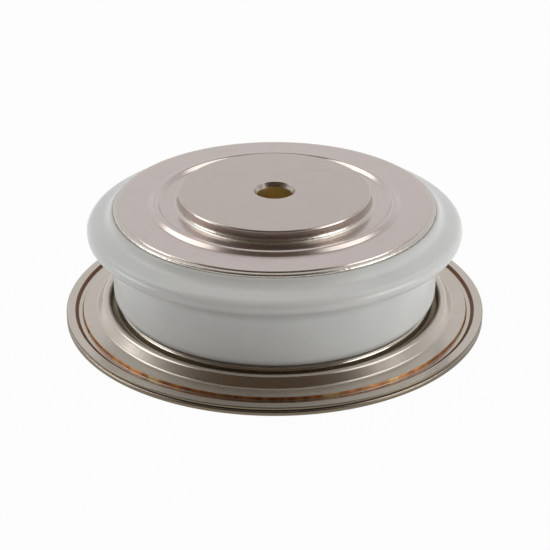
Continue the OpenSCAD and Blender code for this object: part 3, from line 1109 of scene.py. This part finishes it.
@dataclass
class UpperFlange:
    """The thin pressed sheet on the ceramic's top, with its bead and brazed seam.

    Attributes:
        levels: the shared heights.
        rim_r: radius of the sheet.
        bead_in: radius of the bead's inner foot.
        bead_h: height of the bead.
        steep: width of its steep inner flank.
        crown: width of its crown.
        fall: width of its long outer flank.
        foot: rounding of the inner foot.
        inner_crest: rounding of the crown's inner edge.
        outer_crest: rounding of its outer edge.
        run_out: rounding where the outer flank runs out into the sheet.
        edge: rounding of the sheet's outer edge below.
        top_edge: rounding of the same edge above.
        margin: width of the braze outside the sheet.
        step: how far the braze stays below the sheet's top face.
        shoulder: rounding of the braze's outer edge.
        wander: how that edge wanders.
    """

    levels: Levels
    rim_r: float = 15.4
    bead_in: float = 11.24
    bead_h: float = 0.35
    steep: float = 0.38
    crown: float = 0.38
    fall: float = 0.46
    foot: float = 0.15
    inner_crest: float = 0.3
    outer_crest: float = 0.25
    run_out: float = 0.4
    edge: float = 0.05
    top_edge: float = 0.14
    margin: float = 0.48
    step: float = 0.1
    shoulder: float = 0.2
    wander: Wander = Wander(0.08, 34.0, 5.0)

    def face(self, top: float) -> list[Corner]:
        """Returns the corners of the sheet's top face, which lies at height top."""
        crest, crown = top + self.bead_h, self.bead_in + self.steep
        return [
            Corner(self.levels.pole_hole, top),
            Corner(self.bead_in, top, self.foot),
            Corner(crown, crest, self.inner_crest),
            Corner(crown + self.crown, crest, self.outer_crest),
            Corner(crown + self.crown + self.fall, top, self.run_out),
            Corner(self.rim_r, top),
        ]

    def build(self, shop: Shop) -> None:
        """Builds the sheet and its seam."""
        lv, top = self.levels, self.levels.upper_top
        path = self.face(top)
        corners, rim = sheet(path, lv.upper_sheet), len(path) - 1
        corners[rim] = corners[rim]._replace(bend=self.top_edge)
        corners[rim + 1] = corners[rim + 1]._replace(bend=self.edge)
        shop.make("upper_sheet", "upper_flange", corners, NickelPlate())
        outer = self.rim_r + self.margin
        seam = [
            Corner(lv.seam_in, lv.ceramic_top),
            Corner(outer, lv.ceramic_top, 0, 1.0),
            Corner(outer, top - self.step, self.shoulder, 1.0),
            Corner(self.rim_r, top - self.step),
            Corner(self.rim_r, lv.upper_under, self.edge),
            Corner(lv.seam_in, lv.upper_under),
        ]
        shop.make("upper_seam", "upper_ceramic_braze", seam, Braze(), self.wander)


@dataclass
class CeramicHousing:
    """The alumina ring with its rib.

    Attributes:
        levels: the shared heights.
        wall_r: outer radius below the rib.
        rib_r: radius over the rib.
        neck_r: radius at which the top face turns down.
        neck_slope: slope of the neck below the top face.
        bottom: height of the ring's lower face.
        top_slope: slope of the rib's upper side.
        under_slope: slope of the rib's underside.
        rim_top: height of the rib's upper corner.
        rim: height of the rib's rim.
        foot: rounding of the wall's lower end.
        root: rounding between the wall and the rib.
        rim_edges: roundings of the rib's lower and upper corner.
        hollow: rounding between the rib and the neck.
    """

    levels: Levels
    wall_r: float = 16.15
    rib_r: float = 18.55
    neck_r: float = 16.1
    neck_slope: float = 52.0
    bottom: float = 2.98
    top_slope: float = 17.0
    under_slope: float = 24.0
    rim_top: float = 11.05
    rim: float = 1.18
    foot: float = 1.0
    root: float = 1.6
    rim_edges: tuple[float, float] = (0.8, 0.95)
    hollow: float = 1.2

    def build(self, shop: Shop) -> None:
        """Builds the ring."""
        lv, top = self.levels, self.levels.ceramic_top
        flat, steep = slope(self.top_slope), slope(self.neck_slope)
        across = (top - self.rim_top - (self.rib_r - self.neck_r) * flat) / (steep - flat)
        rim_bottom = self.rim_top - self.rim
        root = rim_bottom - (self.rib_r - self.wall_r) * slope(self.under_slope)
        corners = [
            Corner(lv.bore_r, self.bottom, lv.bore_edge),
            Corner(self.wall_r, self.bottom, self.foot),
            Corner(self.wall_r, root, self.root),
            Corner(self.rib_r, rim_bottom, self.rim_edges[0]),
            Corner(self.rib_r, self.rim_top, self.rim_edges[1]),
            Corner(self.neck_r + across, top - across * steep, self.hollow),
            Corner(self.neck_r, top, lv.bore_edge),
            Corner(lv.bore_r, top, lv.bore_edge),
        ]
        shop.make("ceramic_ring", "ceramic_housing", corners, GlazedAlumina())


@dataclass
class WeldedBase:
    """The weld ring and the base flange, cold-welded at the pressed channel.

    Heights here are above the flange's underside.

    Attributes:
        levels: the shared heights.
        rim_r: radius of the flange.
        sheet_t: thickness of the weld ring.
        ledge: height of the ledge under the ceramic.
        collar_r: radius of the ledge's outer wall.
        collar_edge: rounding of the ledge's outer edge.
        valley: height of the valley's floor.
        valley_edge: rounding of its two corners.
        bead_r: radius of the ring bead's inner wall at its foot.
        bead_lean: how far that wall leans outwards.
        crest: height of its crown.
        crown: rounding of the crown.
        bead_slope: angle of its outer flank.
        land_r: radius at which that flank would meet the land.
        land: height of the land.
        land_edge: rounding between the flank and the land.
        channel_r: radius of the channel's inner wall.
        channel_w: width of its floor.
        channel: height of its floor.
        slant: slant of its inner wall.
        wall_out: width of its slanted outer wall.
        lip: height of the lip.
        lip_t: thickness of the lip.
        groove: depth of the groove in the underside.
        groove_slant: slant of the groove's walls.
        rim_edge: rounding of the rim's edges.
        tight: rounding of sharply pressed corners.
        base_bead_r: radius of the middle line of the base flange's bead.
        base_bead_w: width of that bead.
        base_bead_h: how far it stands below the flange.
        base_bead_slope: angle of its flanks.
        base_bead_edges: roundings of its foot and of its crown.
        seam_w: width of the seam under the ceramic.
        wander: how the seam's outer edge wanders.
        flakes: number of squeezed-out copper flakes.
        flake: size of a flake.
        flake_out: how far outside the channel's inner wall the flakes sit.
        flake_up: how far above its floor they sit.
        flake_seed: which flakes.
    """

    levels: Levels
    rim_r: float = 21.0
    sheet_t: float = 0.35
    ledge: float = 2.0
    collar_r: float = 15.75
    collar_edge: float = 0.42
    valley: float = 1.15
    valley_edge: float = 0.25
    bead_r: float = 16.4
    bead_lean: float = 0.18
    crest: float = 1.98
    crown: float = 0.52
    bead_slope: float = 55.0
    land_r: float = 17.89
    land: float = 1.0
    land_edge: float = 0.3
    channel_r: float = 19.3
    channel_w: float = 0.33
    channel: float = 0.67
    slant: float = 0.12
    wall_out: float = 0.4
    lip: float = 0.9
    lip_t: float = 0.24
    groove: float = 0.14
    groove_slant: float = 0.05
    rim_edge: float = 0.1
    tight: float = 0.03
    base_bead_r: float = 12.02
    base_bead_w: float = 1.5
    base_bead_h: float = 0.52
    base_bead_slope: float = 60.0
    base_bead_edges: tuple[float, float] = (0.18, 0.4)
    seam_w: float = 1.9
    wander: Wander = Wander(0.1, 30.0, 8.0)
    flakes: int = 360
    flake: float = 0.032
    flake_out: float = 0.06
    flake_up: float = 0.08
    flake_seed: int = 11

    def ring(self) -> list[Corner]:
        """Returns the weld ring's outline."""
        lv, tight, under_lip = self.levels, self.tight, self.lip - self.lip_t
        floor_in = self.channel_r + self.slant
        floor_out = floor_in + self.channel_w
        lip_in = floor_out + self.wall_out
        flank = (self.crest - self.land) / slope(self.bead_slope)
        formed = [
            Corner(lv.seam_in, self.ledge),
            Corner(self.collar_r, self.ledge, self.collar_edge),
            Corner(self.collar_r, self.valley, self.valley_edge),
            Corner(self.bead_r, self.valley, self.valley_edge),
            Corner(self.bead_r + self.bead_lean, self.crest, self.crown),
            Corner(self.land_r - flank, self.crest, self.crown),
            Corner(self.land_r, self.land, self.land_edge),
            Corner(self.channel_r - self.sheet_t, self.land),
        ]
        pressed = [
            Corner(self.channel_r, self.land, tight),
            Corner(floor_in, self.channel, tight),
            Corner(floor_out, self.channel, tight),
            Corner(lip_in, self.lip, 2 * tight),
            Corner(self.rim_r, self.lip, self.rim_edge),
            Corner(self.rim_r, under_lip, self.rim_edge / 2),
            Corner(lip_in + self.lip_t, under_lip, tight),
            Corner(lip_in, lv.base_sheet),
            Corner(self.channel_r - self.slant, lv.base_sheet),
        ]
        return formed + pressed + sheet(formed, self.sheet_t, tight)[len(formed):]

    def base(self) -> list[Corner]:
        """Returns the base flange's outline."""
        lv, tight, middle, thick = self.levels, self.tight, self.base_bead_r, self.levels.base_sheet
        near = self.channel_r + self.groove_slant
        lip_in = self.channel_r + self.slant + self.channel_w + self.wall_out
        foot, (foot_edge, crown) = self.base_bead_w / 2, self.base_bead_edges
        crest = foot - self.base_bead_h / slope(self.base_bead_slope)
        under = [
            Corner(lv.pole_hole, 0),
            Corner(middle - foot, 0, foot_edge),
            Corner(middle - crest, -self.base_bead_h, crown),
            Corner(middle + crest, -self.base_bead_h, crown),
            Corner(middle + foot, 0, foot_edge),
            Corner(near - 2 * thick, 0),
        ]
        pressed = [
            Corner(self.channel_r, 0, tight),
            Corner(near, self.groove, tight),
            Corner(lip_in - self.groove_slant, self.groove, tight),
            Corner(lip_in, 0, tight),
            Corner(self.rim_r, 0, self.rim_edge),
            Corner(self.rim_r, thick, 2 * self.rim_edge),
        ]
        return under + pressed + sheet(under, -thick, tight)[len(under):]

    def seam(self) -> list[Corner]:
        """Returns the outline of the seam under the ceramic."""
        inner, outer = self.levels.seam_in, self.levels.seam_in + self.seam_w
        low, high = self.ledge, self.ledge + self.levels.seam
        outside = [Corner(outer, low, 0, 0.5), Corner(outer, high, 0, 0.5)]
        return [Corner(inner, low), *outside, Corner(inner, high)]

    def build(self, shop: Shop) -> None:
        """Builds both sheets, the seam under the ceramic and the squeezed-out copper."""
        zero = self.levels.underside
        ring, base, seam = (raised(c, zero) for c in (self.ring(), self.base(), self.seam()))
        shop.make("weld_sheet", "weld_ring", ring, WeldedPlate())
        shop.make("base_sheet", "base_flange", base, NickelPlate())
        shop.make("lower_seam", "lower_ceramic_braze", seam, Braze(), self.wander)
        values = {
            "Count": self.flakes,
            "Radius": (self.channel_r + self.flake_out) * MM,
            "Height": (zero + self.channel + self.flake_up) * MM,
            "Flake": self.flake * MM,
            "Seed": self.flake_seed,
            "Material": BareCopper().material(),
        }
        flash = Squeezer().run("copper_flash", bpy.data.meshes.new("copper_flash"), values)
        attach(flash, "root")


@dataclass
class WaferStack:
    """The sealed inner pieces, which keep their CAD shapes.

    Attributes:
        silver: finish of the contact foils.
        molybdenum: finish of the two discs.
        alloy: finish of the layer that joins the wafer to its disc.
        silicon: finish of the wafer.
        rubber: finish of the seal round it.
        ptfe: finish of the centring ring.
    """

    silver: Finish = GroundMetal("silver_foil", (0.88, 0.86, 0.82), (0.78, 0.76, 0.72), 0.25)
    molybdenum: Finish = GroundMetal(
        "molybdenum", (0.43, 0.44, 0.46), (0.36, 0.37, 0.39), 0.38, depth=0.003, pitch=0.1
    )
    alloy: Finish = GroundMetal("alloy", (0.70, 0.70, 0.69), (0.58, 0.58, 0.57), 0.45)
    silicon: Finish = Moulded(
        "silicon", (0.10, 0.105, 0.12), (0.13, 0.13, 0.15), 0.2, depth=0.001, coat=0.4,
        patches=Grain(1.5, 3.0, 0.6, 2.0), relief=Grain(6.0, 3.0, 0.6, 3.0),
    )
    rubber: Finish = Moulded("silicone_rubber", (0.30, 0.06, 0.04), (0.24, 0.045, 0.03), 0.4)
    ptfe: Finish = Moulded(
        "ptfe", (0.86, 0.85, 0.82), (0.82, 0.81, 0.77), 0.45, depth=0.004,
        patches=Grain(1.25, 3.0, 0.6, 2.0), relief=Grain(5.0, 3.0, 0.6, 3.0),
    )

    def build(self) -> None:
        """Gives each inner node its material."""
        dressed = {
            "upper_contact_foil": self.silver,
            "lower_contact_foil": self.silver,
            "upper_molybdenum_disc": self.molybdenum,
            "lower_molybdenum_disc": self.molybdenum,
            "wafer_alloy_layer": self.alloy,
            "silicon_wafer": self.silicon,
            "wafer_edge_seal": self.rubber,
            "centring_ring": self.ptfe,
        }
        for node, finish in dressed.items():
            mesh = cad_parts[node].data
            mesh.materials.clear()
            mesh.materials.append(finish.material())
            log.info("%s: %s", node, finish.name)


def direction(azimuth: float, elevation: float) -> Vector:
    """Returns the unit vector towards an azimuth and an elevation, both in degrees."""
    a, e = math.radians(azimuth), math.radians(elevation)
    return Vector((math.sin(a) * math.cos(e), -math.cos(a) * math.cos(e), math.sin(e)))


@dataclass(frozen=True)
class Softbox:
    """One soft lamp.

    Attributes:
        name: the lamp's name.
        azimuth: degrees round the axis, 0 towards the camera and 90 to the right.
        elevation: degrees above the floor.
        distance: distance from the capsule in metres.
        width: width in metres.
        height: height in metres.
        glow: brightness of its face, where 1 is white.
        colour: colour of its light.
        power: watts per square metre of its face at which the glow is 1.
        aim: height in metres of the point that it faces.
    """

    name: str
    azimuth: float
    elevation: float
    distance: float
    width: float
    height: float
    glow: float
    colour: Colour = (0.99, 1.0, 0.97)
    power: float = 4.0
    aim: float = 0.007

    def build(self) -> None:
        """Hangs the lamp."""
        lamp = bpy.data.lights.new(self.name, "AREA")
        lamp.shape = "RECTANGLE"
        lamp.size, lamp.size_y = self.width, self.height
        lamp.energy = self.glow * self.power * self.width * self.height
        lamp.color = self.colour
        towards = direction(self.azimuth, self.elevation)
        holder = placed(self.name, lamp)
        holder.location = towards * self.distance + Vector((0, 0, self.aim))
        holder.rotation_euler = (-towards).to_track_quat("-Z", "Y").to_euler()
        holder.visible_camera = False


@dataclass
class Studio:
    """Floor, lamps, world and camera.

    Attributes:
        elevation: how far the camera stands above the floor, in degrees.
        distance: its distance from the point it is set up on, in millimetres.
        aim: height of that point in millimetres.
        dip: how much lower than that point it looks, in degrees.
        aside: how far it stands to the right, in millimetres.
        lens: focal length in millimetres.
        sensor: width of the sensor in millimetres.
        clip: nearest and farthest distance that the camera sees, in metres.
        floor_side: half of the floor's side in metres.
        floor_drop: how far the floor lies below the contact face, in millimetres.
        floor_colour: colour of the floor.
        floor_white: share of plain white that the floor shows to the camera and to metal.
        sky: brightness of the world.
        hood_colour: colour of the dark cloth that hangs over the camera.
        hood_height: elevation of its middle in degrees.
        hood_fade: cosines of the angles from its middle at which it is gone and is whole.
        hood_grid: its number of quads round and up.
        softboxes: the lamps.
    """

    elevation: float = 25.83
    distance: float = 168.15
    aim: float = 7.9
    dip: float = 0.988
    aside: float = 0.041
    lens: float = 110.144
    sensor: float = 36.0
    clip: tuple[float, float] = (0.005, 20.0)
    floor_side: float = 3.0
    floor_drop: float = 0.02
    floor_colour: Colour = (0.60, 0.60, 0.60)
    floor_white: float = 0.97
    sky: float = 0.78
    hood_colour: Colour = (0.19, 0.14, 0.095)
    hood_height: float = 45.0
    hood_fade: tuple[float, float] = (-0.45, 0.95)
    hood_grid: tuple[int, int] = (48, 12)
    softboxes: tuple[Softbox, ...] = (
        Softbox("left_strip", -87.0, 6.5, 0.7, 0.36, 0.16, 4.6),
        Softbox("right_strip", 67.0, 9.0, 0.7, 0.41, 0.21, 5.0),
        Softbox("left_panel", -109.0, 46.0, 0.7, 0.43, 0.38, 1.3),
        Softbox("right_panel", 91.0, 50.0, 0.7, 0.47, 0.39, 1.2),
    )

    def camera(self) -> None:
        """Sets up the camera at the photograph's viewing angle."""
        data = bpy.data.cameras.new("camera")
        data.lens, data.sensor_width = self.lens, self.sensor
        data.clip_start, data.clip_end = self.clip
        holder = placed("camera", data)
        e = math.radians(self.elevation)
        back, up = self.distance * math.cos(e), self.distance * math.sin(e) + self.aim
        holder.location = Vector((self.aside, -back, up)) * MM
        holder.rotation_euler = (math.radians(90 - self.elevation - self.dip), 0.0, 0.0)
        bpy.context.scene.camera = holder

    def floor(self) -> None:
        """Lays the pale floor."""
        mesh = bpy.data.meshes.new("floor")
        side, low = self.floor_side, -self.floor_drop * MM
        corners = [(-side, -side, low), (side, -side, low), (side, side, low), (-side, side, low)]
        mesh.from_pydata(corners, [], [(0, 1, 2, 3)])
        s = Paint("floor")
        path = s.add("ShaderNodeLightPath", {}, {}).outputs
        rays = Signal(s, path["Is Camera Ray"]) + Signal(s, path["Is Glossy Ray"])
        rays = rays + Signal(s, path["Is Transmission Ray"])
        matt = s.node("ShaderNodeBsdfDiffuse", {}, {"Color": solid(self.floor_colour)})
        white = s.node("ShaderNodeEmission", {}, {"Color": (1, 1, 1, 1), "Strength": 1.0})
        blend = s.node("ShaderNodeMixShader", {}, [rays * self.floor_white, matt, white])
        mesh.materials.append(s.end(blend))
        floor = placed("floor", mesh)

    def hood(self) -> None:
        """Hangs the dark cloth over the camera's side, thinning out towards the capsule's back."""
        mesh = bpy.data.meshes.new("hood")
        turns, rows = self.hood_grid
        crown = rows * turns
        points, faces = [], []
        for row in range(rows):
            for a in range(turns):
                points.append(direction(a * 360 / turns, row * 90 / rows))
                here, beside = row * turns + a, row * turns + (a + 1) % turns
                above = [crown] if row == rows - 1 else [beside + turns, here + turns]
                faces.append([here, beside, *above])
        points.append(Vector((0.0, 0.0, 1.0)))
        mesh.from_pydata(points, [], faces)
        s = Paint("hood")
        place = s.node("ShaderNodeTexCoord", {}, {}, "Object")
        along = [place, direction(0.0, self.hood_height)]
        facing = s.node("ShaderNodeVectorMath", {"operation": "DOT_PRODUCT"}, along, "Value")
        cloth = s.node("ShaderNodeBsdfDiffuse", {}, {"Color": solid(self.hood_colour)})
        gone = s.node("ShaderNodeBsdfTransparent", {}, {})
        blend = s.node("ShaderNodeMixShader", {}, [facing.ramp(*self.hood_fade), gone, cloth])
        mesh.materials.append(s.end(blend))
        hood = placed("hood", mesh)
        hood.visible_camera = False

    def world(self) -> None:
        """Lights the room evenly."""
        world = bpy.data.worlds.new("room")
        world.use_nodes = True
        s = Bench(world.node_tree)
        light = {"Color": (1, 1, 1, 1), "Strength": self.sky}
        glow = s.node("ShaderNodeBackground", {}, light)
        s.add("ShaderNodeOutputWorld", {}, {"Surface": glow})
        bpy.context.scene.world = world

    def build(self) -> None:
        """Sets up the whole studio."""
        bpy.context.scene.view_settings.view_transform = "Standard"
        self.camera()
        self.floor()
        self.hood()
        self.world()
        for softbox in self.softboxes:
            softbox.build()


def main() -> None:
    logging.basicConfig(level=logging.INFO, format="%(name)s: %(message)s")
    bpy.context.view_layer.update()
    shop, levels = Shop(), Levels()
    PolePieces(levels).build(shop)
    UpperFlange(levels).build(shop)
    CeramicHousing(levels).build(shop)
    WeldedBase(levels).build(shop)
    WaferStack().build()
    Studio().build()


if __name__ == "__main__":
    main()
